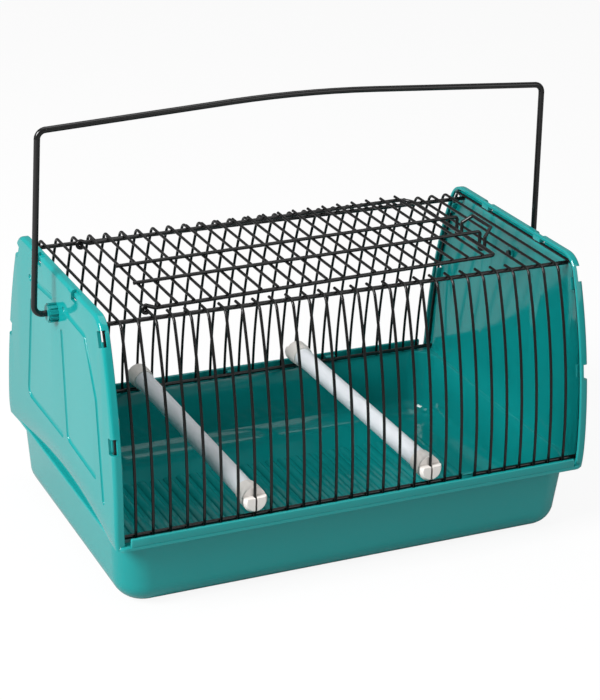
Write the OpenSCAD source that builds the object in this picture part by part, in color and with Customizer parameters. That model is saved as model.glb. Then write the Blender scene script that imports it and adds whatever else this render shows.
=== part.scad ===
// Small bird travel carrier: a moulded tub with two end walls, a bent wire grille,
// a wire door in the top, a wire carrying handle and two clip-in perches.
// X runs along the length, Y from front to rear, Z up. Everything is in millimetres.
// The origin is on the table, under the middle of the carrier.

/* [Tub] */
// Length over the outer faces of the two end walls
tub_l = 296.4; // [240:1:380]
// Width over the outer edges of the front and rear rims
rim_w = 198.6; // [170:1:240]
// Height of the end walls above the table
tub_h = 168; // [140:1:200]
// Height of the top face of the rim ledge
rim_z = 44.8; // [35:0.1:60]
// Thickness of the rim ledge
rim_t = 2.5; // [1.5:0.1:4]
// Corner radius of the rim ledge seen from above
rim_r = 5; // [2:0.5:8]
// Height of the raised lip above the ledge
lip_h = 4.6; // [3:0.1:6]
// Thickness of the raised lip
lip_t = 2; // [1.2:0.1:3]
// Gap between the end of a lip and the flange of the end wall
lip_gap = 1.2; // [0.5:0.1:3]
// Wall thickness of the moulding
wall_t = 2; // [1.5:0.1:3]
// Inset of the tray below the outer edge of the rim, at the front and rear
tray_inset = 6.3; // [4:0.1:9]
// Inset of the tray below the outer faces of the end walls
tray_end_inset = 4.6; // [3:0.1:8]
// How much each tray side leans in from the rim to the table
tray_lean = 3.4; // [1:0.1:8]
// Radius of the upright tray corners
tray_r = 18; // [12:0.5:26]
// Radius of the edge between the tray sides and its underside
base_r = 14; // [8:0.5:16]

/* [End walls] */
// How far the flange round an end wall turns inwards
flange_d = 7.2; // [5:0.1:10]
// Thickness of that flange
flange_t = 2; // [1.5:0.1:3]
// Radius of the long curve of the front and rear edges of an end wall
side_r = 298; // [260:1:400]
// Radius of the two top corners of an end wall
top_r = 14; // [8:0.5:20]
// Height at which an end wall starts to lean in towards the tray
fold_z = 56; // [50:0.5:62]
// Slope of that lean, inwards over down
fold_slope = 0.35; // [0.2:0.01:0.5]
// Radius of the hollow of the leaning part, seen from above
fold_r = 922; // [600:10:1400]
// Length of a snap window along the edge of an end wall
window_l = 9; // [6:0.5:12]
// Width of a snap window across the flange
window_w = 4.2; // [3:0.1:5]
// Depth of a snap window from the outer edge
window_d = 3.4; // [2.5:0.1:5]
// Heights of the two snap windows on an upright edge
window_z = [102, 158]; // [60:1:160]
// Heights of the two catches behind those windows
catch_z = [102, 153]; // [60:1:156]
// Distance of the snap windows on the top edge from the middle
window_y = 31; // [20:1:50]
// Width of the moulded lines on an end wall
line_w = 2.4; // [1.5:0.1:4]
// Depth of the moulded lines on an end wall
line_d = 0.6; // [0.3:0.1:1]

/* [Floor] */
// Spacing of the ribs on the tray floor
rib_pitch = 8; // [6:0.5:14]
// Width of a floor rib
rib_w = 3; // [2:0.1:5]
// Height of a floor rib
rib_h = 1; // [0.5:0.1:2]

/* [Grille] */
// Number of grille wires from end wall to end wall
wire_n = 30; // [20:1:40]
// Spacing of the grille wires
wire_pitch = 10; // [8:0.1:12]
// Diameter of a grille wire
wire_d = 1.7; // [1.2:0.1:2.5]
// Height of the wires over the top of the cage
wire_z = 162.7; // [130:0.1:190]
// Distance of the wires inside the edge of an end wall
wire_inset = 4; // [3:0.1:6]
// Radius of the bend between the side and the top of a wire
wire_bend_r = 5; // [3:0.5:10]
// Diameter of the rods that the wires are welded to
rod_d = 2.5; // [2:0.1:4]
// Height of the middle of the bottom rods above the ledge
rod_lift = 2.4; // [1.5:0.1:4]
// Thickness of the hooks that hold the bottom rods
hook_t = 1.4; // [1:0.1:2]
// Distance of the top rods from the middle
top_rod_y = 62.3; // [50:0.1:75]
// How far the cut wires reach inwards past the top rods
stub_l = 3; // [1.5:0.1:8]
// Number of whole wires left of the hinge wire
left_whole = 3; // [1:1:6]
// Number of whole wires at the right end
right_whole = 4; // [1:1:6]

/* [Door] */
// Angle at which the door lies slightly raised in the photograph
door_rest = 1.3; // [0:0.1:3]
// Diameter of the door frame rod
frame_d = 2.3; // [1.8:0.1:3]
// Distance of the door's front and rear rods from the middle
frame_y = 54; // [45:0.5:58]
// Distance from the hinge wire to the door's free side rod
frame_l = 216; // [150:1:260]
// Radius of the sharp front corner of the door frame
corner_front_r = 3; // [2:0.5:8]
// Radius of the round rear corner of the door frame
corner_rear_r = 10; // [4:0.5:16]
// Radial clearance of a hinge eye round the hinge wire
eye_clear = 0.12; // [0.05:0.01:0.3]
// Distance from the hinge wire to the first door wire
door_wire_x = 7; // [5:0.5:9]
// How far the door wires reach past the frame rods
door_stub = 1.8; // [0.5:0.1:6]
// Diameter of the long grip wire on the door
grip_d = 2.1; // [1.6:0.1:3]
// Distance of the two long grip runs from each other
grip_w = 28; // [20:0.5:40]
// Distance of the middle of the grip in front of the middle of the door
grip_off = 11; // [0:0.5:20]
// Depth of the dip in the grip wire, past the free side of the door
grip_dip = 11.6; // [8:0.1:14]
// Height of the finger loop above the long runs
grip_rise = 0.4; // [0:0.1:6]
// Distance of the finger loop past the dip, level with the door
loop_l = 8.9; // [8:0.1:14]
// Length of the finger loop's crossbar
loop_w = 22; // [14:0.5:26]

/* [Handle] */
// Height of the handle pivots
pivot_z = 145; // [120:1:160]
// Diameter of the handle wire
handle_d = 3.5; // [3:0.1:5]
// Half distance between the handle legs at the pivots
handle_low_x = 161; // [152:0.1:200]
// Half distance between the handle legs at the top
handle_high_x = 157.6; // [150:0.1:200]
// Height of the outer ends of the grip bar
handle_end_z = 250.8; // [220:1:280]
// Height at which the two straight parts of the grip bar would meet
handle_mid_z = 259.8; // [225:1:290]
// Half length of the curved middle of the grip bar
crown_x = 45; // [10:1:100]
// Radius of the handle bends
handle_bend_r = 5; // [4:0.5:10]
// Outer diameter of a handle bush
bush_d = 11; // [9:0.1:14]
// Length of a handle bush outside the end wall
bush_l = 5.4; // [4:0.1:8]
// Diameter of the bush shank in the end wall
shank_d = 7; // [6:0.1:9]
// Radial clearance of the handle wire in its bushes
pivot_clear = 0.08; // [0.03:0.01:0.1]

/* [Perches] */
// Diameter of a perch
perch_d = 11.6; // [8:0.1:14]
// Height of the middle of a perch
perch_z = 57; // [54:0.5:110]
// Grille wire that the left perch clips to, counted from 0 at the left
perch_left_wire = 8; // [4:1:12]
// Grille wire that the right perch clips to
perch_right_wire = 19; // [15:1:25]
// Outer diameter of a perch clip
clip_d = 14.2; // [13.6:0.1:18]
// Length of a perch clip
clip_l = 15; // [12:0.5:18]
// Gap between the two lobes of a perch clip
clip_gap = 1.4; // [0.4:0.1:2]

/* [Hidden] */
$fn = 48;
// Small overlap that joins pieces of one moulding
lap = 0.4;
// Gap that stands for a weld line or a face that only touches
touch = 0.03;
// How much a ball over a joint is larger than its bars
weld = 0.1;
ball_turn = [35, 25, 0];
end_x = tub_l / 2;
rim_y = rim_w / 2;
face_y = rim_y - lip_t;
ledge_z = rim_z - rim_t;
// Centre of the long edge curve, level with the rim
side_c = face_y - side_r;
side_cz = rim_z + 1.2;
// Centre of a top corner, tangent to the long curve and to the top edge
top_cz = tub_h - top_r;
top_cy = side_c + sqrt(pow(side_r - top_r, 2) - pow(top_cz - side_cz, 2));
tray_x = end_x - tray_end_inset;
tray_y = rim_y - tray_inset;
floor_z = wall_t;
wire_r = side_r - wire_inset;
wire_cz = wire_z - wire_bend_r;
wire_cy = side_c + sqrt(pow(wire_r - wire_bend_r, 2) - pow(wire_cz - side_cz, 2));
wire_a = atan2(wire_cz - side_cz, wire_cy - side_c);
wire_foot = rim_z + 0.2;
rod_x = end_x - wall_t - 0.3;
top_rod_z = wire_z - (wire_d + rod_d) / 2 - touch;
low_rod_z = rim_z + rod_lift;
low_rod_y = side_c + wire_r - (wire_d + rod_d) / 2 - touch;
hinge_x = wire_x(left_whole);
frame_z = wire_z;
door_wire_z = frame_z + (frame_d + wire_d) / 2 + touch;
grip_z = door_wire_z + (wire_d + grip_d) / 2 + touch;
door_wire_n = floor((frame_l - door_wire_x - 4) / wire_pitch) + 1;
eye_r = (wire_d + frame_d) / 2 + eye_clear;
// Distance from the free side rod of the door to the dip of the grip wire
dip_x = 6.4;
corner_a = atan2(top_cz - side_cz, top_cy - side_c);
tray_levels = 3;
edge_steps = 6;
corner_steps = 8;
side_steps = 24;

function wire_x(i) = (i - (wire_n - 1) / 2) * wire_pitch;
function side_y(z, r) = side_c + sqrt(r * r - pow(z - side_cz, 2));

// One level of the tray: a rectangle with round corners, as points
function ring(hx, hy, r, z) = [
  for (q = [0:3])
    for (k = [0:corner_steps])
      let (a = 90 * q + 90 * k / corner_steps,
        sx = (q == 0 || q == 3) ? 1 : -1,
        sy = (q < 2) ? 1 : -1)
        [sx * (hx - r) + r * cos(a), sy * (hy - r) + r * sin(a), z]
];

// All levels of a tray body from the rim down to its flat underside
function tray_rings(inset, top, low) = concat(
  [for (k = [0:tray_levels])
    let (z = top + (low + base_r - inset - top) * k / tray_levels,
      lean = tray_lean * (ledge_z - z) / ledge_z)
      ring(tray_x - inset - lean, tray_y - inset - lean, tray_r - inset, z)],
  [for (k = [1:edge_steps])
    let (a = 90 * k / edge_steps,
      r = base_r - inset,
      z = low + r - r * sin(a),
      lean = tray_lean * (ledge_z - low - r) / ledge_z + r * (1 - cos(a)))
      ring(tray_x - inset - lean, tray_y - inset - lean,
        max(tray_r - inset - r * (1 - cos(a)), 2), z)]
);

// A closed solid from a list of rings that all have the same number of points
module loft(rings) {
  n = len(rings[0]);
  m = len(rings);
  polyhedron(
    points = [for (row = rings) for (p = row) p],
    faces = concat(
      [for (i = [1:n - 2]) [0, i + 1, i]],
      [for (j = [0:m - 2]) for (i = [0:n - 1])
        [j * n + i, (j + 1) * n + (i + 1) % n, (j + 1) * n + i]],
      [for (j = [0:m - 2]) for (i = [0:n - 1])
        [j * n + i, j * n + (i + 1) % n, (j + 1) * n + (i + 1) % n]],
      [for (i = [1:n - 2]) [(m - 1) * n, (m - 1) * n + i, (m - 1) * n + i + 1]]
    )
  );
}

// A ring segment standing in the Y-Z plane, angles from +Y towards +Z
module yz_arc(cy, cz, r, a0, a1, d) {
  translate([0, cy, cz])
    rotate([90, 0, 90])
      rotate([0, 0, a0])
        rotate_extrude(angle = a1 - a0, $fn = 96)
          translate([r, 0])
            circle(d = d, $fn = 20);
}

// A ring segment lying in the X-Y plane
module xy_arc(cx, cy, z, r, a0, a1, d) {
  translate([cx, cy, z])
    rotate([0, 0, a0])
      rotate_extrude(angle = a1 - a0, $fn = 96)
        translate([r, 0])
          circle(d = d, $fn = 24);
}

// A ring segment standing in the X-Z plane, angles from +X towards +Z
module xz_arc(cx, cy, cz, r, a0, a1, d) {
  translate([cx, cy, cz])
    rotate([90, 0, 0])
      rotate([0, 0, a0])
        rotate_extrude(angle = a1 - a0, $fn = 96)
          translate([r, 0])
            circle(d = d, $fn = 24);
}

// A hardly larger ball over the joint of two bars or bends, its poles turned off them
module ball(p, d) {
  translate(p)
    rotate(ball_turn)
      sphere(d = d + weld, $fn = 24);
}

// A round bar between two points
module bar(p, q, d) {
  v = q - p;
  translate(p)
    rotate([0, acos(v[2] / norm(v)), atan2(v[1], v[0])])
      cylinder(d = d, h = norm(v), $fn = 24);
}

// The rear half of the outline of an end wall in Y and Z, drawn smaller by an inset
function half_outline(inset, low) = concat(
  [[side_y(low, side_r - inset), low]],
  [for (k = [0:side_steps])
    let (a = corner_a * k / side_steps)
      [side_c + (side_r - inset) * cos(a), side_cz + (side_r - inset) * sin(a)]],
  [for (k = [1:corner_steps])
    let (a = corner_a + (90 - corner_a) * k / corner_steps)
      [top_cy + (top_r - inset) * cos(a), top_cz + (top_r - inset) * sin(a)]]
);

// The whole outline of an end wall
module end_outline(inset, low) {
  half = half_outline(inset, low);
  n = len(half);
  polygon(concat(half, [for (i = [n - 1:-1:0]) [-half[i][0], half[i][1]]]));
}

// That outline as a plate between two X positions
module end_plate(inset, low, x0, x1) {
  translate([x0, 0, 0])
    rotate([90, 0, 90])
      linear_extrude(height = x1 - x0)
        end_outline(inset, low);
}

// The big round body that hollows the leaning foot of an end wall
module fold_cutter(shift) {
  translate([end_x - shift, 0, fold_z])
    rotate([0, atan(fold_slope), 0])
      translate([fold_r, 0, 0])
        cylinder(r = fold_r, h = 90, center = true, $fn = 720);
}

// A box that cuts or fills one place on the upright front edge of an end wall
module edge_box(z, depth0, depth1, x0, x1, len) {
  a = asin((z - side_cz) / side_r);
  translate([0, side_c, side_cz])
    rotate([a, 0, 0])
      translate([x0, side_r - depth1, -len / 2])
        cube([x1 - x0, depth1 - depth0, len]);
}

// The same for a place on the top edge
module top_box(y, depth0, depth1, x0, x1, len) {
  translate([x0, y - len / 2, tub_h - depth1])
    cube([x1 - x0, len, depth1 - depth0]);
}

// One moulded line on the outer face of an end wall, from point to point in Y and Z
module face_line(pts) {
  for (i = [0:len(pts) - 2]) {
    p = pts[i];
    q = pts[i + 1];
    a = atan2(q[1] - p[1], q[0] - p[0]);
    translate([end_x - line_d, p[0], p[1]])
      rotate([a, 0, 0])
        translate([0, 0, -line_w / 2])
          cube([line_d + 1, norm(q - p), line_w]);
    for (e = [p, q])
      translate([end_x - line_d, e[0], e[1]])
        rotate([0, 90, 0])
          cylinder(d = line_w + weld, h = line_d + 1.1, $fn = 20);
  }
}

// The three moulded lines of an end wall
module face_lines() {
  face_line([[46, 134], [54, 73], [-8, 73]]);
  face_line([[-9, 136], [-18, 75], [-64, 73]]);
  face_line([[50, 148.5], [11, 150]]);
  face_line([[-13, 151], [-49, 149.5], [-67, 119], [-78, 64]]);
}

// The right-hand end wall with its flange, windows, hooks and pivot hole
module end_wall() {
  difference() {
    union() {
      difference() {
        end_plate(0, ledge_z, end_x - flange_d, end_x);
        difference() {
          end_plate(flange_t, 0, end_x - flange_d - 1, end_x - wall_t);
          fold_cutter(wall_t);
        }
      }
      for (s = [0, 1])
        mirror([0, s, 0]) {
          for (z = catch_z)
            edge_box(z, wire_inset + wire_d / 2 + 0.1, wire_inset + wire_d / 2 + 1.5,
              end_x - flange_d, end_x - wall_t + lap, window_l - 1.5);
          top_box(window_y, flange_t - lap, tub_h - wire_z - wire_d / 2 - 0.1,
            end_x - flange_d, end_x - wall_t + lap, window_l - 1.5);
        }
    }
    fold_cutter(0);
    for (s = [0, 1])
      mirror([0, s, 0]) {
        for (z = window_z)
          edge_box(z, -1, window_d, end_x - window_w, end_x + 1, window_l);
        top_box(window_y, -1, window_d, end_x - window_w, end_x + 1, window_l);
        translate([end_x - flange_d - 1, face_y - flange_t - 1, rim_z])
          cube([flange_d, flange_t + 2, 0.9]);
      }
    translate([0, 0, pivot_z])
      rotate([0, 90, 0])
        cylinder(d = shank_d, h = end_x + 10);
    face_lines();
  }
}

// The rim ledge with its raised front and rear lips
module rim() {
  difference() {
    translate([0, 0, ledge_z])
      linear_extrude(height = rim_t)
        polygon([for (p = ring(end_x, rim_y, rim_r, 0)) [p[0], p[1]]]);
    for (s = [0, 1])
      mirror([s, 0, 0])
        fold_cutter(0);
  }
  lip_l = tub_l - 2 * (flange_d + lip_gap);
  for (s = [0, 1])
    mirror([0, s, 0])
      translate([-lip_l / 2, rim_y - lip_t, rim_z - lap])
        cube([lip_l, lip_t, lip_h + lap]);
}

// The hooks on the ledge that hold the bottom rods down
module rod_hooks() {
  hooks = [[[-2.2, 2.8], [70, 7]], [[70, 7]]];
  y = low_rod_y + rod_d / 2 + 0.1;
  z = low_rod_z + rod_d / 2 + 0.1;
  for (s = [0, 1])
    mirror([0, s, 0])
      for (h = hooks[s]) {
        translate([h[0] - h[1] / 2, y, rim_z - lap])
          cube([h[1], hook_t, z + hook_t - rim_z + lap]);
        translate([h[0] - h[1] / 2, y - rod_d * 0.7, z])
          cube([h[1], rod_d * 0.7 + hook_t, hook_t]);
      }
}

// The long ribs on the tray floor
module floor_ribs() {
  n = floor((tray_x - 22) / rib_pitch);
  for (i = [-n:n])
    translate([i * rib_pitch - rib_w / 2, -78, floor_z - lap])
      cube([rib_w, 130, rib_h + lap]);
}

module tub() {
  color([0.16, 0.68, 0.66]) {
    difference() {
      union() {
        loft(tray_rings(0, rim_z - 0.5, 0));
        rim();
        for (s = [0, 1])
          mirror([s, 0, 0])
            end_wall();
      }
      loft(tray_rings(wall_t, rim_z + 0.8, floor_z));
    }
    floor_ribs();
    rod_hooks();
  }
}

// A ribbed bush in the right-hand end wall that carries one end of the handle
module bush() {
  bore = handle_d + 2 * pivot_clear;
  ribs = 10;
  translate([0, 0, pivot_z])
    rotate([0, 90, 0])
      difference() {
        union() {
          translate([0, 0, end_x - wall_t - 1.6])
            cylinder(d = shank_d - 0.04, h = wall_t + 1.6 + lap);
          translate([0, 0, end_x + touch])
            cylinder(d = bush_d - 1.6, h = bush_l);
          for (k = [0:ribs - 1])
            rotate([0, 0, 360 * k / ribs])
              translate([bush_d / 2 - 2.4, -0.75, end_x + touch])
                cube([2.4, 1.5, bush_l - 0.8]);
        }
        translate([0, 0, end_x - 20])
          cylinder(d = bore, h = 60);
      }
}

module bush_left() {
  color([0.10, 0.55, 0.54])
    mirror([1, 0, 0])
      bush();
}

module bush_right() {
  color([0.10, 0.55, 0.54])
    bush();
}

// Half of the handle: pivot pin, leg and one straight part of the grip bar
module handle_half() {
  r = handle_bend_r;
  lean = atan((handle_low_x - handle_high_x) / (handle_end_z - pivot_z));
  foot_a = 90 - lean;
  top_a = atan((handle_mid_z - handle_end_z) / handle_high_x);
  foot_cx = handle_low_x - r * (1 + tan(lean));
  foot_cz = pivot_z + r;
  leg0 = [foot_cx + r * cos(lean), 0, foot_cz + r * sin(lean)];
  head_cx = handle_high_x - r;
  head_cz = handle_end_z - r + r * sin(lean);
  leg1 = [head_cx + r * cos(lean), 0, head_cz + r * sin(lean)];
  bar0 = [head_cx + r * sin(top_a), 0, head_cz + r * cos(top_a)];
  bar([end_x - wall_t - 3.2, 0, pivot_z], [foot_cx, 0, pivot_z], handle_d);
  ball([foot_cx, 0, pivot_z], handle_d);
  xz_arc(foot_cx, 0, foot_cz, r, -90, lean, handle_d);
  ball(leg0, handle_d);
  bar(leg0, leg1, handle_d);
  ball(leg1, handle_d);
  xz_arc(head_cx, 0, head_cz, r, lean, 90 - top_a, handle_d);
  ball(bar0, handle_d);
  crown = [crown_x, 0, handle_mid_z - crown_x * tan(top_a)];
  bar(bar0, crown, handle_d);
  ball(crown, handle_d);
}

module handle() {
  top_a = atan((handle_mid_z - handle_end_z) / handle_high_x);
  crown_r = crown_x / sin(top_a);
  crown_cz = handle_mid_z - crown_x * tan(top_a) - crown_r * cos(top_a);
  color([0.13, 0.13, 0.13])
    union() {
      xz_arc(0, 0, crown_cz, crown_r, 90 - top_a, 90 + top_a, handle_d);
      for (s = [0, 1])
        mirror([s, 0, 0])
          handle_half();
    }
}

// A straight rod along X with its ends just inside the end walls
module long_rod(y, z) {
  translate([-rod_x, y, z])
    rotate([0, 90, 0])
      cylinder(d = rod_d, h = 2 * rod_x, $fn = 24);
}

module front_top_rod() {
  color([0.15, 0.15, 0.15])
    long_rod(-top_rod_y, top_rod_z);
}

module rear_top_rod() {
  color([0.15, 0.15, 0.15])
    long_rod(top_rod_y, top_rod_z);
}

module front_bottom_rod() {
  color([0.15, 0.15, 0.15])
    long_rod(-low_rod_y, low_rod_z);
}

module rear_bottom_rod() {
  color([0.15, 0.15, 0.15])
    long_rod(low_rod_y, low_rod_z);
}

// The rear side of a wire: its foot, its long curve and its bend
module wire_side() {
  bend = [0, wire_cy + wire_bend_r * cos(wire_a), wire_cz + wire_bend_r * sin(wire_a)];
  foot = [0, side_c + wire_r, side_cz];
  bar([0, foot[1], wire_foot], foot, wire_d);
  ball(foot, wire_d);
  yz_arc(side_c, side_cz, wire_r, 0, wire_a, wire_d);
  ball(bend, wire_d);
  yz_arc(wire_cy, wire_cz, wire_bend_r, wire_a, 90, wire_d);
  ball([0, wire_cy, wire_z], wire_d);
}

// A wire that runs from the front rim over the top to the rear rim
module whole_wire(i) {
  translate([wire_x(i), 0, 0]) {
    bar([0, -wire_cy, wire_z], [0, wire_cy, wire_z], wire_d);
    for (s = [0, 1])
      mirror([0, s, 0])
        wire_side();
  }
}

module left_wires() {
  color([0.18, 0.18, 0.18])
    for (i = [0:left_whole - 1])
      whole_wire(i);
}

module hinge_wire() {
  color([0.22, 0.22, 0.22])
    whole_wire(left_whole);
}

module right_wires() {
  color([0.18, 0.18, 0.18])
    for (i = [wire_n - right_whole:wire_n - 1])
      whole_wire(i);
}

// The cut wires of one side, in the door opening's stretch
module cut_wires() {
  for (i = [left_whole + 1:wire_n - right_whole - 1])
    translate([wire_x(i), 0, 0]) {
      bar([0, top_rod_y - stub_l, wire_z], [0, wire_cy, wire_z], wire_d);
      wire_side();
    }
}

module front_wires() {
  color([0.18, 0.18, 0.18])
    mirror([0, 1, 0])
      cut_wires();
}

module rear_wires() {
  color([0.18, 0.18, 0.18])
    cut_wires();
}

// Turns the flat door up to the angle at which it rests
module door_pose() {
  translate([hinge_x, 0, wire_z])
    rotate([0, -door_rest, 0])
      translate([-hinge_x, 0, -wire_z])
        children();
}

// One hinge eye: the rod's end, curled round the hinge wire from the top to below
module door_eye(y) {
  low = [hinge_x + 5.4, y, frame_z];
  high = [hinge_x, y, wire_z + eye_r];
  xz_arc(hinge_x, y, wire_z, eye_r, 90, 300, frame_d);
  ball(high, frame_d);
  bar(high, low, frame_d);
  ball(low, frame_d);
}

module door_frame() {
  x0 = hinge_x + 5.4;
  x1 = hinge_x + frame_l;
  color([0.15, 0.15, 0.15])
    door_pose() {
      door_eye(-frame_y);
      door_eye(frame_y);
      bar([x0, -frame_y, frame_z], [x1 - corner_front_r, -frame_y, frame_z], frame_d);
      xy_arc(x1 - corner_front_r, -frame_y + corner_front_r, frame_z, corner_front_r,
        -90, 0, frame_d);
      ball([x1 - corner_front_r, -frame_y, frame_z], frame_d);
      ball([x1, -frame_y + corner_front_r, frame_z], frame_d);
      bar([x1, -frame_y + corner_front_r, frame_z],
        [x1, frame_y - corner_rear_r, frame_z], frame_d);
      ball([x1, frame_y - corner_rear_r, frame_z], frame_d);
      ball([x1 - corner_rear_r, frame_y, frame_z], frame_d);
      xy_arc(x1 - corner_rear_r, frame_y - corner_rear_r, frame_z, corner_rear_r,
        0, 90, frame_d);
      bar([x0, frame_y, frame_z], [x1 - corner_rear_r, frame_y, frame_z], frame_d);
    }
}

module door_wires() {
  reach = frame_y + door_stub;
  color([0.18, 0.18, 0.18])
    door_pose()
      for (k = [0:door_wire_n - 1])
        translate([hinge_x + door_wire_x + k * wire_pitch, -reach, door_wire_z])
          rotate([-90, 0, 0])
            cylinder(d = wire_d, h = 2 * reach, $fn = 20);
}

// One long run of the grip wire with its dip and its bent leg up to the finger loop
module grip_run(y, loop_y) {
  x0 = hinge_x + door_wire_x - 3.5;
  x1 = hinge_x + frame_l + dip_x;
  r = 1.8;
  low = grip_z - grip_dip;
  top = [x1 + loop_l, loop_y, grip_z + grip_rise];
  foot = [x1 + 2 * r, y, low + r];
  knee = [x1 + 2 * r, y, frame_z - 0.2];
  bar([x0, y, grip_z], [x1 - r, y, grip_z], grip_d);
  ball([x1 - r, y, grip_z], grip_d);
  xz_arc(x1 - r, y, grip_z - r, r, 0, 90, grip_d);
  ball([x1, y, grip_z - r], grip_d);
  bar([x1, y, low + r], [x1, y, grip_z - r], grip_d);
  ball([x1, y, low + r], grip_d);
  xz_arc(x1 + r, y, low + r, r, 180, 360, grip_d);
  ball(foot, grip_d);
  bar(foot, knee, grip_d);
  ball(knee, grip_d);
  bar(knee, top, grip_d);
  ball(top, grip_d);
}

module door_grip() {
  x = hinge_x + frame_l + dip_x + loop_l;
  z = grip_z + grip_rise;
  color([0.15, 0.15, 0.15])
    door_pose() {
      for (s = [-1, 1])
        grip_run(s * grip_w / 2 - grip_off, s * loop_w / 2 - grip_off);
      bar([x, -grip_off - loop_w / 2, z], [x, -grip_off + loop_w / 2, z], grip_d);
    }
}

// A perch between its two end clips
module perch(x) {
  half = side_c + wire_r - clip_l + 5;
  translate([x, -half, perch_z])
    rotate([-90, 0, 0])
      cylinder(d = perch_d, h = 2 * half);
}

module perch_left() {
  color([0.92, 0.93, 0.94])
    perch(wire_x(perch_left_wire));
}

module perch_right() {
  color([0.92, 0.93, 0.94])
    perch(wire_x(perch_right_wire));
}

// The rear clip of a perch: a sleeve that flares to two low prongs round a grille wire
module clip() {
  wy = side_y(perch_z, wire_r);
  end = wy + 2.6;
  start = end - clip_l;
  difference() {
    translate([0, start, perch_z])
      rotate([-90, 0, 0])
        union() {
          cylinder(d1 = perch_d + 1.6, d2 = clip_d, h = 5);
          translate([0, 0, 5])
            cylinder(d = clip_d, h = clip_l - 7);
          translate([0, 0, clip_l - 2])
            cylinder(d1 = clip_d, d2 = clip_d - 3, h = 2);
        }
    translate([0, start - 1, perch_z])
      rotate([-90, 0, 0])
        cylinder(d = perch_d + 0.06, h = 9.6);
    translate([-wire_d / 2 - 0.08, wy - 1.35, perch_z - clip_d])
      cube([wire_d + 0.16, 2.7, 2 * clip_d]);
    translate([-clip_gap / 2, wy, perch_z - clip_d])
      cube([clip_gap, 6, 2 * clip_d]);
    translate([-clip_d, wy - 1.35, perch_z + 2.2])
      cube([2 * clip_d, 8, clip_d]);
  }
}

// The two clips of one perch
module clip_pair(x) {
  for (s = [0, 1])
    mirror([0, s, 0])
      translate([x, 0, 0])
        clip();
}

module perch_left_clips() {
  color([0.93, 0.91, 0.86])
    clip_pair(wire_x(perch_left_wire));
}

module perch_right_clips() {
  color([0.93, 0.91, 0.86])
    clip_pair(wire_x(perch_right_wire));
}

tub();
bush_left();
bush_right();
handle();
front_top_rod();
rear_top_rod();
front_bottom_rod();
rear_bottom_rod();
left_wires();
hinge_wire();
right_wires();
front_wires();
rear_wires();
door_frame();
door_wires();
door_grip();
perch_left();
perch_right();
perch_left_clips();
perch_right_clips();
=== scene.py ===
"""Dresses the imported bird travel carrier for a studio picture."""
from __future__ import annotations

import logging
import math
from dataclasses import dataclass, field
from enum import Enum
from typing import Callable, Iterable, Sequence

import bmesh
import bpy
from mathutils import Matrix, Vector

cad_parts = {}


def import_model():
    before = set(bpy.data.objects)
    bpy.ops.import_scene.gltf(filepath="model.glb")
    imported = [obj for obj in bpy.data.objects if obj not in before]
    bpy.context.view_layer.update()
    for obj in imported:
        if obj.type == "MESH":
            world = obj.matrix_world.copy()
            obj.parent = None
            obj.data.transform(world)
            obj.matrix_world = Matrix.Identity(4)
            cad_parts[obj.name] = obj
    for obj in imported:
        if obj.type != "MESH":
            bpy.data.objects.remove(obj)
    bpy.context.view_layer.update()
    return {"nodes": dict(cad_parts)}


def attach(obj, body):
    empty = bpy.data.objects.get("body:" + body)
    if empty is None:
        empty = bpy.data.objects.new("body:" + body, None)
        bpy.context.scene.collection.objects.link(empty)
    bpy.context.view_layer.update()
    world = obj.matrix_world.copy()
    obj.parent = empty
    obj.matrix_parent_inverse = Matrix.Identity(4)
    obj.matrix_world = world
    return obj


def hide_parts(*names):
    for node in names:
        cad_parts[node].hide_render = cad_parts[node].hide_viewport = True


LOG = logging.getLogger("carrier")
MM = 0.001
Point = tuple[float, float, float]
Colour = tuple[float, float, float]
FlatRun = tuple[tuple[float, float], ...]

# Edges up to this many degrees are shaded as one smooth surface
SMOOTH_ANGLE = 32.0
# Places of the rings on a bar's domed end, in degrees, from the tip inwards
DOME_TURNS = (80, 55, 28)
# Length of one band of the wave texture at scale 1, in metres
WAVE_PERIOD = 0.314
# Pointiness where an edge starts to look rubbed, and where it looks fully rubbed
RUBBED_FROM, RUBBED_TO = 0.52, 0.62


class Side(Enum):
    """The two ends of the carrier, as the sign of their X."""

    LEFT = -1
    RIGHT = 1


class Depth(Enum):
    """The two long sides of the carrier, as the sign of their Y."""

    FRONT = -1
    REAR = 1


# Helpers for modelling

def only(obj: bpy.types.Object) -> bpy.types.Object:
    """Makes obj the only selected and the active object.

    Args:
        obj: the object to work on.

    Returns:
        The same object.
    """
    if bpy.context.object and bpy.context.object.mode != "OBJECT":
        bpy.ops.object.mode_set(mode="OBJECT")
    bpy.ops.object.select_all(action="DESELECT")
    obj.select_set(True)
    bpy.context.view_layer.objects.active = obj
    return obj


def named(name: str) -> bpy.types.Object:
    """Names the primitive that was just added and lays its place into its mesh.

    Args:
        name: the name of the piece.

    Returns:
        The new object, at the origin, unturned and unscaled.
    """
    obj = bpy.context.object
    obj.name = name
    obj.data.name = name
    bpy.ops.object.transform_apply(location=True, rotation=True, scale=True)
    return obj


def joined(name: str, parts: Sequence[bpy.types.Object]) -> bpy.types.Object:
    """Joins several objects into one piece.

    Args:
        name: the name of the joined piece.
        parts: the objects; the first one keeps its modifiers.

    Returns:
        The joined object.
    """
    only(parts[0])
    for part in parts[1:]:
        part.select_set(True)
    if len(parts) > 1:
        bpy.ops.object.join()
    obj = bpy.context.object
    obj.name = name
    obj.data.name = name
    return obj


def applied(obj: bpy.types.Object, kind: str, **values: object) -> bpy.types.Object:
    """Adds one modifier, sets its values and applies it.

    Args:
        obj: the object to change.
        kind: the modifier's type.
        **values: the modifier's settings.

    Returns:
        The changed object.
    """
    only(obj)
    modifier = obj.modifiers.new(kind.title(), kind)
    for key, value in values.items():
        setattr(modifier, key, value)
    bpy.ops.object.modifier_apply(modifier=modifier.name)
    return obj


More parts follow.
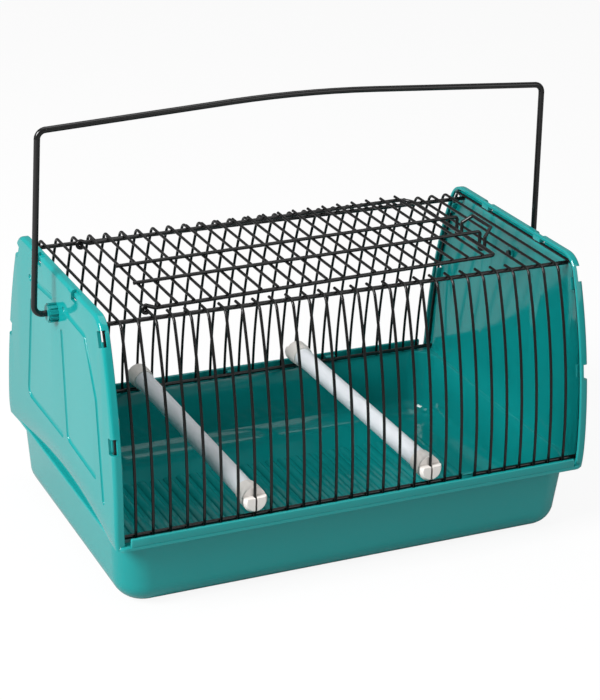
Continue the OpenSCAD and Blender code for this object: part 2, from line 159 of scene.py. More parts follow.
def cut(obj: bpy.types.Object, cutter: bpy.types.Object) -> None:
    """Cuts the cutter's shape out of obj and removes the cutter.

    Args:
        obj: the object to cut.
        cutter: the shape to take away.
    """
    applied(obj, "BOOLEAN", operation="DIFFERENCE", solver="EXACT", object=cutter,
            use_self=True)
    bpy.data.objects.remove(cutter, do_unlink=True)


def smooth(obj: bpy.types.Object, angle: float = SMOOTH_ANGLE) -> bpy.types.Object:
    """Shades obj smooth, but keeps its sharper edges.

    Args:
        obj: the object to shade.
        angle: the largest angle of a smoothed edge, in degrees.

    Returns:
        The same object.
    """
    only(obj)
    bpy.ops.object.shade_smooth_by_angle(angle=math.radians(angle))
    return obj


def tidy_normals(obj: bpy.types.Object, gap: float = 1e-6) -> bpy.types.Object:
    """Merges doubled points and turns all faces outwards.

    Args:
        obj: the object to mend.
        gap: points nearer than this are merged, in metres.

    Returns:
        The same object.
    """
    only(obj)
    bpy.ops.object.mode_set(mode="EDIT")
    bpy.ops.mesh.select_all(action="SELECT")
    bpy.ops.mesh.remove_doubles(threshold=gap)
    bpy.ops.mesh.normals_make_consistent(inside=False)
    bpy.ops.object.mode_set(mode="OBJECT")
    return obj


def loft(name: str, rings: Sequence[Sequence[Point]], caps: bool = True) -> bpy.types.Object:
    """Draws a skin through rings of points: a circle, extruded ring by ring.

    Args:
        name: the name of the piece.
        rings: rings of equally many points, in metres.
        caps: whether the first and last ring are closed with a face.

    Returns:
        The new object.
    """
    count = len(rings[0])
    bpy.ops.object.select_all(action="DESELECT")
    bpy.ops.mesh.primitive_circle_add(vertices=count, radius=1.0, fill_type="NOTHING")
    obj = named(name)
    for vertex, point in zip(obj.data.vertices, rings[0]):
        vertex.co = point
    bpy.ops.object.mode_set(mode="EDIT")
    bpy.ops.mesh.select_all(action="SELECT")
    mesh = bmesh.from_edit_mesh(obj.data)
    last = list(mesh.verts)
    for ring in rings[1:]:
        place = {tuple(v.co): i for i, v in enumerate(last)}
        bpy.ops.mesh.extrude_region_move()
        mesh = bmesh.from_edit_mesh(obj.data)
        fresh = sorted((v for v in mesh.verts if v.select), key=lambda v: place[tuple(v.co)])
        for vertex, point in zip(fresh, ring):
            vertex.co = point
        last = fresh
    if caps:
        bpy.ops.mesh.edge_face_add()
        bpy.ops.mesh.select_all(action="DESELECT")
        mesh.verts.ensure_lookup_table()
        for vertex in mesh.verts[:count]:
            vertex.select = True
        mesh.select_flush(True)
        bpy.ops.mesh.edge_face_add()
    bmesh.update_edit_mesh(obj.data)
    bpy.ops.object.mode_set(mode="OBJECT")
    return tidy_normals(obj)


def bend_points(obj: bpy.types.Object, move: Callable[[Vector], Vector]) -> None:
    """Moves every point of a mesh.

    Args:
        obj: the object to change.
        move: gives the new place of a point.
    """
    for vertex in obj.data.vertices:
        vertex.co = move(vertex.co)
    obj.data.update()


def block(name: str, low: Point, high: Point, edge: float = 0.0) -> bpy.types.Object:
    """A box between two corners with bevelled edges.

    Args:
        name: the name of the piece.
        low: lowest corner, in metres.
        high: highest corner, in metres.
        edge: radius of the edges, in metres; 0 leaves them sharp.

    Returns:
        The new object.
    """
    bpy.ops.object.select_all(action="DESELECT")
    centre = [(a + b) / 2 for a, b in zip(low, high)]
    bpy.ops.mesh.primitive_cube_add(size=1.0, location=centre)
    bpy.context.object.scale = [b - a for a, b in zip(low, high)]
    obj = named(name)
    if edge > 0:
        bpy.ops.object.mode_set(mode="EDIT")
        bpy.ops.mesh.select_all(action="SELECT")
        bpy.ops.mesh.bevel(offset=edge, segments=3)
        bpy.ops.object.mode_set(mode="OBJECT")
    return obj


def slice_grid(obj: bpy.types.Object, axis: int, places: Iterable[float]) -> None:
    """Bisects the whole mesh at several places along one axis.

    Args:
        obj: the object to slice.
        axis: 0, 1 or 2 for X, Y or Z.
        places: where the slices lie on the axis, in metres.
    """
    normal = [0.0, 0.0, 0.0]
    normal[axis] = 1.0
    only(obj)
    bpy.ops.object.mode_set(mode="EDIT")
    for place in places:
        point = [0.0, 0.0, 0.0]
        point[axis] = place
        bpy.ops.mesh.select_all(action="SELECT")
        bpy.ops.mesh.bisect(plane_co=point, plane_no=normal)
    bpy.ops.object.mode_set(mode="OBJECT")


def tube(name: str, points: Sequence[Vector], radius: float, sides: int = 12) -> bpy.types.Object:
    """A round bar with domed ends along a line of points, made of lofted rings.

    Args:
        name: the name of the piece.
        points: the middle line, in metres.
        radius: the bar's radius, in metres.
        sides: number of points round the bar.

    Returns:
        The new object.
    """
    first = (points[0] - points[1]).normalized()
    last = (points[-1] - points[-2]).normalized()
    domes = [(radius * math.sin(a), radius * math.cos(a)) for a in map(math.radians, DOME_TURNS)]
    stops = [(points[0] + first * out, r) for out, r in domes]
    stops += [(point, radius) for point in points]
    stops += [(points[-1] + last * out, r) for out, r in reversed(domes)]
    turns = [math.tau * k / sides for k in range(sides)]
    rings = []
    normal = None
    for i, (point, r) in enumerate(stops):
        ahead = stops[min(i + 1, len(stops) - 1)][0] - stops[max(i - 1, 0)][0]
        ahead.normalize()
        if normal is None:
            seed = Vector((0, 0, 1)) if abs(ahead.z) < 0.9 else Vector((0, 1, 0))
            normal = ahead.cross(seed).normalized()
        normal = (normal - ahead * normal.dot(ahead)).normalized()
        across = ahead.cross(normal)
        rings.append([tuple(point + (normal * math.cos(a) + across * math.sin(a)) * r) for a in turns])
    return loft(name, rings)


def rounded_path(corners: Sequence[Point], radii: Sequence[float], step: float = 12.0) -> list[Vector]:
    """A line through corners, with an arc at each inner corner.

    Args:
        corners: the corner points, in metres.
        radii: the arc radius at each inner corner, in metres.
        step: largest turn of one piece of an arc, in degrees.

    Returns:
        The points of the line.
    """
    knots = [Vector(c) for c in corners]
    line = [knots[0]]
    for i in range(1, len(knots) - 1):
        back = (knots[i - 1] - knots[i]).normalized()
        ahead = (knots[i + 1] - knots[i]).normalized()
        turn = math.pi - back.angle(ahead)
        radius = radii[i - 1]
        if turn < 1e-3 or radius <= 0:
            line.append(knots[i])
            continue
        reach = radius * math.tan(turn / 2)
        middle = knots[i] + (back + ahead).normalized() * radius / math.cos(turn / 2)
        start = knots[i] + back * reach - middle
        axis = start.cross(knots[i] + ahead * reach - middle).normalized()
        steps = max(2, round(math.degrees(turn) / step))
        for k in range(steps + 1):
            line.append(middle + Matrix.Rotation(turn * k / steps, 3, axis) @ start)
    line.append(knots[-1])
    return line


# Finishes

@dataclass(frozen=True)
class Finish:
    """A plain plastic or painted surface with fine texture and uneven gloss.

    The grain and the ridges are in millimetres; the other values are shares from 0 to 1.
    """

    name: str
    colour: Colour
    roughness: float
    speckle: float = 0.03
    grain_size: float = 0.6
    grain_depth: float = 0.02
    gloss_spread: float = 0.08
    specular: float = 0.5
    wear: float = 0.0
    wear_colour: Colour = (0.5, 0.5, 0.5)
    ridge_pitch: float = 0.0
    ridge_depth: float = 0.08
    cloud_scale: float = 22.0

    def material(self) -> bpy.types.Material:
        """Builds the material once and gives it back after that.

        Returns:
            The material.
        """
        found = bpy.data.materials.get(self.name)
        if found:
            return found
        material = bpy.data.materials.new(self.name)
        material.use_nodes = True
        tree = material.node_tree
        nodes, links = tree.nodes, tree.links
        shader = nodes["Principled BSDF"]
        shader.inputs["Specular IOR Level"].default_value = self.specular
        place = nodes.new("ShaderNodeTexCoord").outputs["Object"]
        cloud = self._noise(tree, place, self.cloud_scale, 4.0)
        tint = nodes.new("ShaderNodeMix")
        tint.data_type = "RGBA"
        tint.inputs["A"].default_value = (*[c * (1 - self.speckle) for c in self.colour], 1)
        tint.inputs["B"].default_value = (*[min(1, c * (1 + self.speckle)) for c in self.colour], 1)
        links.new(cloud, tint.inputs["Factor"])
        colour = tint.outputs["Result"]
        if self.wear > 0:
            colour = self._worn(tree, colour)
        links.new(colour, shader.inputs["Base Color"])
        gloss = nodes.new("ShaderNodeMapRange")
        gloss.inputs["To Min"].default_value = max(0.02, self.roughness - self.gloss_spread)
        gloss.inputs["To Max"].default_value = self.roughness + self.gloss_spread
        links.new(cloud, gloss.inputs["Value"])
        links.new(gloss.outputs["Result"], shader.inputs["Roughness"])
        grain = self._noise(tree, place, 1.0 / (self.grain_size * MM), 3.0)
        bump = self._bump(tree, grain, self.grain_depth)
        if self.ridge_pitch > 0:
            ridges = self._bump(tree, self._ridges(tree, place), self.ridge_depth)
            links.new(ridges.outputs["Normal"], bump.inputs["Normal"])
        links.new(bump.outputs["Normal"], shader.inputs["Normal"])
        return material

    def _noise(self, tree: bpy.types.NodeTree, place: bpy.types.NodeSocket, scale: float,
               detail: float) -> bpy.types.NodeSocket:
        """A cloudy pattern over the object.

        Args:
            tree: the material's node tree.
            place: the socket of the place on the object.
            scale: how many clouds there are on a metre.
            detail: how fine the clouds break up.

        Returns:
            The socket of the pattern.
        """
        noise = tree.nodes.new("ShaderNodeTexNoise")
        noise.inputs["Scale"].default_value = scale
        noise.inputs["Detail"].default_value = detail
        tree.links.new(place, noise.inputs["Vector"])
        return noise.outputs["Fac"]

    def _bump(self, tree: bpy.types.NodeTree, height: bpy.types.NodeSocket, depth: float) -> bpy.types.Node:
        """A bump from a pattern.

        Args:
            tree: the material's node tree.
            height: the socket of the pattern.
            depth: the pattern's full depth, in millimetres.

        Returns:
            The bump node.
        """
        bump = tree.nodes.new("ShaderNodeBump")
        bump.inputs["Strength"].default_value = 1.0
        bump.inputs["Distance"].default_value = depth * MM
        tree.links.new(height, bump.inputs["Height"])
        return bump

    def _ridges(self, tree: bpy.types.NodeTree, place: bpy.types.NodeSocket) -> bpy.types.NodeSocket:
        """Fine ridges round a bar that lies along Y.

        Args:
            tree: the material's node tree.
            place: the socket of the place on the object.

        Returns:
            The socket of the ridge pattern.
        """
        wave = tree.nodes.new("ShaderNodeTexWave")
        wave.bands_direction = "Y"
        wave.inputs["Scale"].default_value = WAVE_PERIOD / (self.ridge_pitch * MM)
        wave.inputs["Distortion"].default_value = 0.3
        tree.links.new(place, wave.inputs["Vector"])
        return wave.outputs["Fac"]

    def _worn(self, tree: bpy.types.NodeTree, colour: bpy.types.NodeSocket) -> bpy.types.NodeSocket:
        """Lightens the colour along edges, as rubbing does.

        Args:
            tree: the material's node tree.
            colour: the socket of the unworn colour.

        Returns:
            The socket of the worn colour.
        """
        nodes, links = tree.nodes, tree.links
        shape = nodes.new("ShaderNodeNewGeometry")
        edge = nodes.new("ShaderNodeMapRange")
        edge.inputs["From Min"].default_value = RUBBED_FROM
        edge.inputs["From Max"].default_value = RUBBED_TO
        edge.inputs["To Max"].default_value = self.wear
        links.new(shape.outputs["Pointiness"], edge.inputs["Value"])
        mix = nodes.new("ShaderNodeMix")
        mix.data_type = "RGBA"
        mix.inputs["B"].default_value = (*self.wear_colour, 1)
        links.new(edge.outputs["Result"], mix.inputs["Factor"])
        links.new(colour, mix.inputs["A"])
        return mix.outputs["Result"]

    def dress(self, *objs: bpy.types.Object) -> None:
        """Puts this finish alone on each object.

        Args:
            *objs: the objects to dress.
        """
        for obj in objs:
            obj.data.materials.clear()
            obj.data.materials.append(self.material())
            LOG.info("%s: %d faces in %s", obj.name, len(obj.data.polygons), self.name)


SHELL = Finish("shell_plastic", (0.004, 0.270, 0.265), 0.08, speckle=0.02, grain_size=0.5,
               grain_depth=0.0012, gloss_spread=0.025, specular=0.40, wear=0.25,
               wear_colour=(0.06, 0.42, 0.42))
BUSH = Finish("bush_plastic", (0.004, 0.235, 0.235), 0.30, grain_depth=0.01)
WIRE = Finish("black_wire", (0.004, 0.004, 0.004), 0.24, specular=0.35, speckle=0.2, grain_size=0.5,
              grain_depth=0.03, gloss_spread=0.06)
ROD = Finish("black_rod", (0.005, 0.005, 0.005), 0.22, specular=0.45, speckle=0.2, grain_size=0.6,
             grain_depth=0.03, gloss_spread=0.06)
PERCH = Finish("perch_plastic", (0.86, 0.89, 0.93), 0.35, speckle=0.02, grain_size=0.8,
               grain_depth=0.02, ridge_pitch=1.1)
CLIP = Finish("clip_plastic", (0.82, 0.78, 0.74), 0.40, speckle=0.03, grain_depth=0.02)


# The tub

@dataclass
class TubShape:
    """The sizes of the tub that several pieces share, in metres.

    rim_y, rim_z and rim_t give the ledge round the tray, lip_h and lip_t the lip on it. Each long
    edge of an end wall is an arc of radius side_r round (side_c, side_z) that runs into an arc of
    radius top_r round (top_y, top_z).
    """

    end_x: float = 148.2 * MM
    rim_y: float = 99.3 * MM
    top: float = 168.0 * MM
    rim_z: float = 44.8 * MM
    rim_t: float = 2.5 * MM
    lip_h: float = 4.6 * MM
    lip_t: float = 2.0 * MM
    wall: float = 2.0 * MM
    flange: float = 5.2 * MM
    side_r: float = 298.0 * MM
    side_c: float = -200.7 * MM
    side_z: float = 46.0 * MM
    top_r: float = 14.0 * MM
    top_y: float = 61.9 * MM
    top_z: float = 154.0 * MM
    foot_turn: float = 0.012
    side_steps: int = 32
    top_steps: int = 14

    def side_y(self, z: float, inset: float = 0.0) -> float:
        """Half depth of an end wall.

        Args:
            z: the height, in metres.
            inset: how much smaller the outline is drawn, in metres.

        Returns:
            The half depth at that height, in metres.
        """
        return self.side_c + math.sqrt((self.side_r - inset) ** 2 - (z - self.side_z) ** 2)

    def outline(self, inset: float, low: float, x: float) -> list[Point]:
        """The outline of an end wall as a closed ring of points.

        Args:
            inset: how much smaller the outline is drawn, in metres.
            low: height of its straight bottom edge, in metres.
            x: where the outline stands, in metres.

        Returns:
            The ring, from the rear foot over the top to the front foot.
        """
        limit = math.atan2(self.top_z - self.side_z, self.top_y - self.side_c)
        half = [(self.side_y(low, inset), low)]
        start = math.asin((low - self.side_z) / self.side_r) + self.foot_turn
        for k in range(self.side_steps + 1):
            a = start + (limit - start) * k / self.side_steps
            r = self.side_r - inset
            half.append((self.side_c + r * math.cos(a), self.side_z + r * math.sin(a)))
        for k in range(1, self.top_steps + 1):
            a = limit + (math.pi / 2 - limit) * k / self.top_steps
            r = self.top_r - inset
            half.append((self.top_y + r * math.cos(a), self.top_z + r * math.sin(a)))
        return [(x, y, z) for y, z in half] + [(x, -y, z) for y, z in reversed(half)]


def round_rect(half_x: float, half_y: float, radius: float, z: float, steps: int = 14) -> list[Point]:
    """A ring of points round a rectangle with round corners, at one height.

    Args:
        half_x: half its length, in metres.
        half_y: half its depth, in metres.
        radius: radius of its corners, in metres.
        z: the height, in metres.
        steps: number of steps round each corner.

    Returns:
        The ring of points.
    """
    ring = []
    for quarter, (sx, sy) in enumerate(((1, 1), (-1, 1), (-1, -1), (1, -1))):
        for k in range(steps + 1):
            a = math.radians(90 * quarter + 90 * k / steps)
            ring.append((sx * (half_x - radius) + radius * math.cos(a),
                         sy * (half_y - radius) + radius * math.sin(a), z))
    return ring


@dataclass
class Tray:
    """The lower part of the tub: tray, ledge, lips, floor ribs and rod hooks.

    Each of the hooks is given by its side, its middle and its width, in millimetres.
    """

    shape: TubShape = field(default_factory=TubShape)
    half_x: float = 143.6 * MM
    half_y: float = 93.0 * MM
    lean: float = 3.4 * MM
    corner_r: float = 18.0 * MM
    base_r: float = 14.0 * MM
    base_steps: int = 8
    ledge_back: float = 1.6 * MM
    ledge_r: float = 5.0 * MM
    soft: float = 0.5 * MM
    lip_back: float = 8.4 * MM
    lip_sink: float = 0.4 * MM
    lip_edge: float = 0.7 * MM
    lip_slices: int = 12
    rib_pitch: float = 8.7 * MM
    rib_w: float = 6.2 * MM
    rib_l: float = 128.0 * MM
    rib_y: float = -14.0 * MM
    rib_edge: float = 0.6 * MM
    rib_flat: float = 0.5
    rib_border: float = 24.0 * MM
    hooks: tuple[tuple[Depth, float, float], ...] = (
        (Depth.REAR, -2.2, 2.8), (Depth.REAR, 70.0, 7.0), (Depth.FRONT, 70.0, 7.0))
    hook_foot: float = 44.4 * MM
    hook_low: float = 48.55 * MM
    hook_top: float = 49.9 * MM
    hook_tip: float = 90.8 * MM
    post_y: tuple[float, float] = (92.5 * MM, 93.9 * MM)

    def _wall_ring(self, inset: float, z: float) -> list[Point]:
        """One level of the upright tray wall.

        Args:
            inset: 0 for the outer face, the wall's thickness for the inner one, in metres.
            z: the height, in metres.

        Returns:
            The ring of points.
        """
        low = self.shape.rim_z - self.shape.rim_t
        lean = self.lean * (low - z) / low
        return round_rect(self.half_x - inset - lean, self.half_y - inset - lean,
                          self.corner_r - inset, z)

    def _base_ring(self, inset: float, floor: float, turn: float) -> list[Point]:
        """One level of the round edge between the wall and the floor.

        Args:
            inset: 0 for the outer face, the wall's thickness for the inner one, in metres.
            floor: height of the flat part that the edge runs into, in metres.
            turn: how far round the edge the level lies, in radians from the wall.

        Returns:
            The ring of points.
        """
        low = self.shape.rim_z - self.shape.rim_t
        r = self.base_r - inset
        lean = self.lean * (low - floor - r) / low + r * (1 - math.cos(turn))
        return round_rect(self.half_x - inset - lean, self.half_y - inset - lean,
                          max(self.corner_r - inset - r * (1 - math.cos(turn)), 1.5 * MM),
                          floor + r - r * math.sin(turn))

    def _skin(self) -> bpy.types.Object:
        """The tray as one closed skin, from the inner floor over the ledge to the foot."""
        s = self.shape
        wall, soft, ledge_r = s.wall, self.soft, self.ledge_r
        end, side, under = s.end_x - self.ledge_back, s.rim_y, s.rim_z - s.rim_t
        turns = [math.pi / 2 * k / self.base_steps for k in range(self.base_steps, -1, -1)]
        rings = [self._base_ring(wall, wall, t) for t in turns]
        rings += [self._wall_ring(wall, z) for z in (0.5 * under, s.rim_z - soft)]
        rings.append(round_rect(self.half_x - wall + soft, self.half_y - wall + soft,
                                self.corner_r - wall, s.rim_z))
        rings.append(round_rect(end - soft, side - soft, ledge_r - soft, s.rim_z))
        rings.append(round_rect(end, side, ledge_r, s.rim_z - soft))
        rings.append(round_rect(end, side, ledge_r, under + soft))
        rings.append(round_rect(end - soft, side - soft, ledge_r - soft, under))
        rings.append(round_rect(self.half_x + soft, self.half_y + soft, self.corner_r, under))
        rings += [self._wall_ring(0.0, z) for z in (under - soft, 0.5 * under)]
        rings += [self._base_ring(0.0, 0.0, t) for t in reversed(turns)]
        return loft("tray_skin", rings)

    def _lip(self, side: Depth) -> bpy.types.Object:
        """The raised lip along one side of the ledge.

        Args:
            side: front or rear.

        Returns:
            The lip.
        """
        s = self.shape
        half = s.end_x - self.lip_back
        y0, y1 = s.rim_y - s.lip_t, s.rim_y
        lip = block("lip", (-half, y0, s.rim_z - self.lip_sink), (half, y1, s.rim_z + s.lip_h),
                    self.lip_edge)
        count = self.lip_slices
        slice_grid(lip, 0, [half * k / count for k in range(1 - count, count)])
        bend_points(lip, lambda p: Vector((p.x, p.y * side.value, p.z)))
        return tidy_normals(lip)

    def _ribs(self) -> list[bpy.types.Object]:
        """The long rounded ribs on the tray floor."""
        ribs = []
        floor = self.shape.wall
        count = int((self.half_x - self.rib_border) / self.rib_pitch)
        for i in range(-count, count + 1):
            bpy.ops.object.select_all(action="DESELECT")
            bpy.ops.mesh.primitive_cylinder_add(vertices=16, radius=self.rib_w / 2, depth=self.rib_l,
                                                rotation=(math.pi / 2, 0, 0),
                                                location=(i * self.rib_pitch, self.rib_y, floor))
            rib = named("rib")
            bpy.ops.object.mode_set(mode="EDIT")
            bpy.ops.mesh.select_all(action="SELECT")
            bpy.ops.mesh.bevel(offset=self.rib_edge, segments=2)
            bpy.ops.object.mode_set(mode="OBJECT")
            bend_points(rib, lambda p: Vector((p.x, p.y, floor + (p.z - floor) * self.rib_flat)))
            ribs.append(rib)
        return ribs

    def _hooks(self) -> list[bpy.types.Object]:
        """The hooks that hold the bottom rods, where the ledge meets them."""
        hooks = []
        y0, y1 = self.post_y
        for side, x, w in self.hooks:
            low, high = (x - w / 2) * MM, (x + w / 2) * MM
            post = block("post", (low, y0, self.hook_foot), (high, y1, self.hook_top), 0.3 * MM)
            cap = block("cap", (low, self.hook_tip, self.hook_low), (high, y1, self.hook_top), 0.4 * MM)
            for part in (post, cap):
                bend_points(part, lambda p, s=side: Vector((p.x, p.y * s.value, p.z)))
                hooks.append(tidy_normals(part))
        return hooks

    def build(self) -> bpy.types.Object:
        """Builds the tray as one object."""
        parts = [self._skin(), self._lip(Depth.FRONT), self._lip(Depth.REAR)]
        parts += self._ribs() + self._hooks()
        tray = joined("tub_tray", parts)
        smooth(tray)
        SHELL.dress(tray)
        return tray


@dataclass
class EndWall:
    """One end wall of the tub with its flange, windows, hooks and moulded lines.

    Each of the catches is the height of a window and of the hook behind it, and each of the lines
    is a run of corners on the outer face, across and up. Both are in millimetres.
    """

    side: Side
    shape: TubShape = field(default_factory=TubShape)
    fold_z: float = 56.0 * MM
    fold_slope: float = 0.35
    fold_r: float = 922.0 * MM
    fold_soft: float = 4.5
    low: float = 42.4 * MM
    window_l: float = 9.0 * MM
    window_w: float = 3.2 * MM
    window_d: float = 5.6 * MM
    catches: tuple[tuple[float, float], ...] = ((102.0, 102.0), (158.0, 153.0))
    catch_depth: tuple[float, float] = (4.95 * MM, 6.35 * MM)
    catch_sink: float = 0.4 * MM
    catch_edge: float = 0.3 * MM
    catch_play: float = 0.75 * MM
    top_y: float = 31.0 * MM
    top_catch: tuple[float, float] = (4.3 * MM, 1.7 * MM)
    top_play: float = 0.7 * MM
    edge_r: float = 2.2 * MM
    edge_steps: int = 6
    line_w: float = 4.0 * MM
    line_d: float = 1.5 * MM
    line_bend: float = 4.0 * MM
    lines: tuple[FlatRun, ...] = (
        ((46, 134), (54, 73), (-8, 73)),
        ((-9, 136), (-18, 75), (-64, 73)),
        ((48, 148.5), (9, 151)),
        ((-13, 151), (-48, 150), (-67, 119), (-78, 64)),
    )

    def _skin(self) -> bpy.types.Object:
        """The closed skin of the wall and its flange, for the right-hand end."""
        s = self.shape
        x1, xi, x0 = s.end_x, s.end_x - s.wall, s.end_x - s.flange
        soft = 0.4 * MM
        profile = [(s.wall + 1.2 * MM, xi), (s.wall + 0.35 * MM, xi - 0.35 * MM), (s.wall, xi - 1.2 * MM),
                   (s.wall, x0 + soft), (s.wall - soft, x0), (soft, x0), (0.0, x0 + soft)]
        r = self.edge_r
        for k in range(self.edge_steps + 1):
            a = math.pi / 2 * k / self.edge_steps
            profile.append((r * (1 - math.cos(a)), x1 - r + r * math.sin(a)))
        wall = loft("end_wall", [s.outline(inset, self.low, x) for inset, x in profile])
        fold = [43.5 + 1.5 * k for k in range(12)]
        slice_grid(wall, 2, [z * MM for z in (*fold, 63)])
        slice_grid(wall, 1, [y * MM for y in range(-90, 91, 10)])
        bend_points(wall, self._lean)
        return wall

    def _lean(self, p: Vector) -> Vector:
        """Leans the foot of the wall in towards the tray.

        Args:
            p: a point of the upright wall.

        Returns:
            The point of the leaning wall.
        """
        set_back = p.y ** 2 / (2 * self.fold_r) / self.fold_slope
        under = (self.fold_z - set_back - p.z) / MM / self.fold_soft
        depth = math.log1p(math.exp(min(under, 20.0))) * self.fold_soft * MM
        return Vector((p.x - self.fold_slope * depth, p.y, p.z))

    def _edge_box(self, z: float, depth: tuple[float, float], across: tuple[float, float],
                  length: float, edge: float) -> bpy.types.Object:
        """A box on the upright rear edge of the wall, laid along that edge.

        Args:
            z: height of its middle, in metres.
            depth: where it starts and ends below the edge, in metres.
            across: where it starts and ends along X, in metres.
            length: its length along the edge, in metres.
            edge: radius of its own edges, in metres.

        Returns:
            The box.
        """
        s = self.shape
        a = math.asin((z - s.side_z) / s.side_r)
        box = block("edge_box", (across[0], s.side_r - depth[1], -length / 2),
                    (across[1], s.side_r - depth[0], length / 2), edge)
        turn = Matrix.Rotation(a, 3, "X")
        base = Vector((0, s.side_c, s.side_z))
        bend_points(box, lambda p: base + turn @ p)
        return box

    def _places(self) -> list[tuple[bpy.types.Object, bpy.types.Object]]:
        """The cutters of the snap windows with the hooks behind them, at the rear half."""
        s = self.shape
        x0, inner = s.end_x - s.flange, s.end_x - s.wall + self.catch_sink
        across = (s.end_x - self.window_w, s.end_x + 1 * MM)
        out = []
        for window_z, hook_z in self.catches:
            out.append((
                self._edge_box(window_z * MM, (-1 * MM, self.window_d), across, self.window_l, 0.0),
                self._edge_box(hook_z * MM, self.catch_depth, (x0, inner),
                               self.window_l - 2 * self.catch_play, self.catch_edge)))
        y0, y1 = self.top_y - self.window_l / 2, self.top_y + self.window_l / 2
        under, over = self.top_catch
        out.append((
            block("top_cut", (across[0], y0, s.top - self.window_d), (across[1], y1, s.top + 1 * MM)),
            block("top_hook", (x0, y0 + self.top_play, s.top - under),
                  (inner, y1 - self.top_play, s.top - over), self.catch_edge)))
        return out

    def _lines(self) -> list[bpy.types.Object]:
        """Cutters for the moulded lines on the outer face."""
        face = self.shape.end_x + 0.05 * MM
        flat = 2 * self.line_d / self.line_w
        cutters = []
        for run in self.lines:
            corners = [(face, y * MM, z * MM) for y, z in run]
            line = rounded_path(corners, [self.line_bend] * (len(corners) - 2), 15)
            cutter = tube("line_cut", line, self.line_w / 2, 16)
            bend_points(cutter, lambda p: Vector((face + (p.x - face) * flat, p.y, p.z)))
            cutters.append(cutter)
        return cutters

    def build(self) -> bpy.types.Object:
        """Builds the wall at its own end of the tub."""
        wall = self._skin()
        hooks = []
        for cutter, hook in self._places():
            for sign in (1, -1):
                for piece, keep in ((cutter, False), (hook, True)):
                    only(piece)
                    bpy.ops.object.duplicate()
                    copy = bpy.context.object
                    bend_points(copy, lambda p, k=sign: Vector((p.x, p.y * k, p.z)))
                    tidy_normals(copy)
                    if keep:
                        hooks.append(copy)
                    else:
                        cut(wall, copy)
            bpy.data.objects.remove(cutter, do_unlink=True)
            bpy.data.objects.remove(hook, do_unlink=True)
        for cutter in self._lines():
            cut(wall, cutter)
        wall = joined(f"tub_wall_{self.side.name.lower()}", [wall, *hooks])
        if self.side is Side.LEFT:
            bend_points(wall, lambda p: Vector((-p.x, p.y, p.z)))
        tidy_normals(wall)
        smooth(wall)
        SHELL.dress(wall)
        return wall


# The studio

@dataclass
class Camera:
    """The camera at the photograph's viewing angle."""

    place: Point = (-0.4645, -0.9757, 0.5567)
    azimuth: float = -25.636
    elevation: float = 22.875
    roll: float = 2.241
    lens: float = 101.02

    def build(self) -> bpy.types.Object:
        """Creates the camera and makes it the scene's."""
        a, e, r = (math.radians(v) for v in (self.azimuth, self.elevation, self.roll))
        back = Vector((math.sin(a) * math.cos(e), -math.cos(a) * math.cos(e), math.sin(e)))
        right = (-back).cross(Vector((0, 0, 1))).normalized()
        up = right.cross(-back)
        right, up = right * math.cos(r) + up * math.sin(r), up * math.cos(r) - right * math.sin(r)
        data = bpy.data.cameras.new("camera")
        data.lens = self.lens
        data.sensor_width = 36.0
        data.clip_start, data.clip_end = 0.05, 20.0
        camera = bpy.data.objects.new("camera", data)
        bpy.context.scene.collection.objects.link(camera)
        matrix = Matrix((right, up, back)).transposed().to_4x4()
        matrix.translation = Vector(self.place)
        camera.matrix_world = matrix
        bpy.context.scene.camera = camera
        return camera


@dataclass(frozen=True)
class Lamp:
    """A square soft lamp; sizes in metres and power in watts."""

    name: str
    place: Point
    target: Point
    size: float
    power: float

    def build(self) -> None:
        """Adds the lamp, turned to its target."""
        data = bpy.data.lights.new(self.name, "AREA")
        data.size = self.size
        data.energy = self.power
        lamp = bpy.data.objects.new(self.name, data)
        bpy.context.scene.collection.objects.link(lamp)
        lamp.location = self.place
        aim = Vector(self.target) - Vector(self.place)
        lamp.rotation_euler = aim.to_track_quat("-Z", "Y").to_euler()


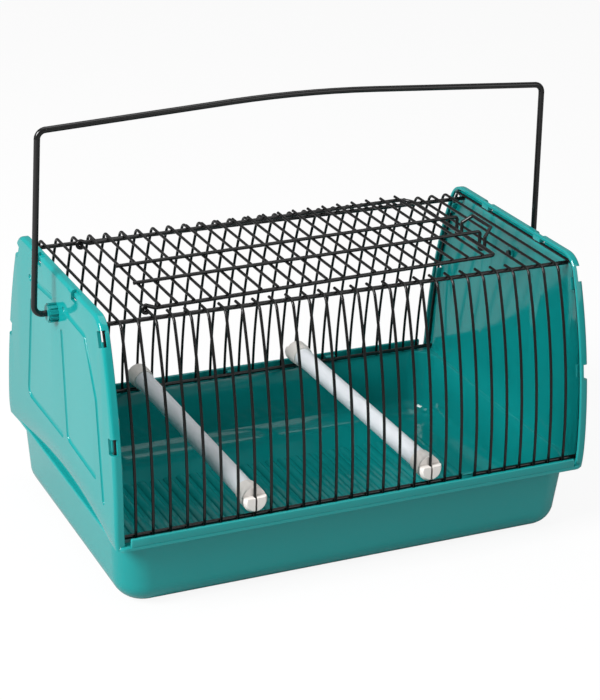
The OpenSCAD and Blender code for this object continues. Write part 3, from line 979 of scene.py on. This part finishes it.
@dataclass
class Studio:
    """Soft lamps, a pale floor and a white surround."""

    surround: float = 0.30
    floor_colour: float = 0.50
    floor_glow: float = 0.86
    glow_strength: float = 1.06
    lamps: tuple[Lamp, ...] = (
        Lamp("key", (-1.36, -0.30, 1.05), (0, 0, 0.08), 0.7, 39),
        Lamp("fill", (0.9, -1.3, 0.9), (0, 0, 0.08), 1.0, 5),
        Lamp("top", (0.1, 0.2, 1.6), (0, 0, 0.1), 1.2, 8),
    )

    def _seen(self, tree: bpy.types.NodeTree) -> bpy.types.NodeSocket:
        """Finds where the camera looks at a surface, also through glass.

        Args:
            tree: the node tree to add to.

        Returns:
            A socket that is 1 there and 0 for all other light.
        """
        path = tree.nodes.new("ShaderNodeLightPath")
        add = tree.nodes.new("ShaderNodeMath")
        add.operation = "MAXIMUM"
        tree.links.new(path.outputs["Is Camera Ray"], add.inputs[0])
        tree.links.new(path.outputs["Is Transmission Ray"], add.inputs[1])
        return add.outputs[0]

    def _floor(self) -> None:
        """A large plain floor that keeps the object's shadow."""
        bpy.ops.object.select_all(action="DESELECT")
        bpy.ops.mesh.primitive_plane_add(size=8.0, location=(0, 0, -0.0004))
        floor = named("floor")
        material = bpy.data.materials.new("floor_paper")
        material.use_nodes = True
        shader = material.node_tree.nodes["Principled BSDF"]
        shader.inputs["Base Color"].default_value = (self.floor_colour,) * 3 + (1,)
        shader.inputs["Roughness"].default_value = 0.9
        shader.inputs["Specular IOR Level"].default_value = 0.1
        tree = material.node_tree
        share = tree.nodes.new("ShaderNodeMath")
        share.operation = "MULTIPLY"
        share.inputs[1].default_value = self.floor_glow
        tree.links.new(self._seen(tree), share.inputs[0])
        glow = tree.nodes.new("ShaderNodeEmission")
        glow.inputs["Strength"].default_value = self.glow_strength
        mix = tree.nodes.new("ShaderNodeMixShader")
        tree.links.new(share.outputs[0], mix.inputs["Fac"])
        tree.links.new(shader.outputs[0], mix.inputs[1])
        tree.links.new(glow.outputs[0], mix.inputs[2])
        tree.links.new(mix.outputs[0], tree.nodes["Material Output"].inputs["Surface"])
        floor.data.materials.append(material)

    def _world(self) -> None:
        """A plain pale surround that shows white behind the object."""
        world = bpy.data.worlds.new("surround")
        bpy.context.scene.world = world
        world.use_nodes = True
        tree = world.node_tree
        tree.nodes.clear()
        out = tree.nodes.new("ShaderNodeOutputWorld")
        mix = tree.nodes.new("ShaderNodeMixShader")
        tree.links.new(self._seen(tree), mix.inputs["Fac"])
        for slot, strength in ((1, self.surround), (2, 1.0)):
            light = tree.nodes.new("ShaderNodeBackground")
            light.inputs["Color"].default_value = (1, 1, 1, 1)
            light.inputs["Strength"].default_value = strength
            tree.links.new(light.outputs[0], mix.inputs[slot])
        tree.links.new(mix.outputs[0], out.inputs["Surface"])

    def build(self) -> None:
        """Sets the lamps, the floor, the surround and the view transform."""
        self._floor()
        self._world()
        for lamp in self.lamps:
            lamp.build()
        bpy.context.scene.view_settings.view_transform = "Standard"


# The carrier

@dataclass
class Carrier:
    """The whole carrier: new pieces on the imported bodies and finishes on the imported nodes."""

    nodes: dict[str, bpy.types.Object]

    def tub(self) -> None:
        """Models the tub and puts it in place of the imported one."""
        for piece in (Tray().build(), EndWall(Side.LEFT).build(), EndWall(Side.RIGHT).build()):
            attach(piece, "carrier")
            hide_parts("tub")

    def finishes(self) -> None:
        """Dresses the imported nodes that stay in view."""
        for name in ("left_wires", "hinge_wire", "right_wires", "front_wires", "rear_wires", "door_wires"):
            WIRE.dress(self.nodes[name])
        for name in ("front_top_rod", "rear_top_rod", "front_bottom_rod", "rear_bottom_rod",
                     "door_frame", "door_grip", "handle"):
            ROD.dress(self.nodes[name])
        BUSH.dress(self.nodes["bush_left"], self.nodes["bush_right"])
        PERCH.dress(self.nodes["perch_left"], self.nodes["perch_right"])
        CLIP.dress(self.nodes["perch_left_clips"], self.nodes["perch_right_clips"])


def main() -> None:
    """Builds the scene and reports each piece."""
    logging.basicConfig(level=logging.INFO, format="%(name)s: %(message)s")
    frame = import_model()
    Camera().build()
    Studio().build()
    carrier = Carrier(frame["nodes"])
    carrier.tub()
    carrier.finishes()


if __name__ == "__main__":
    main()
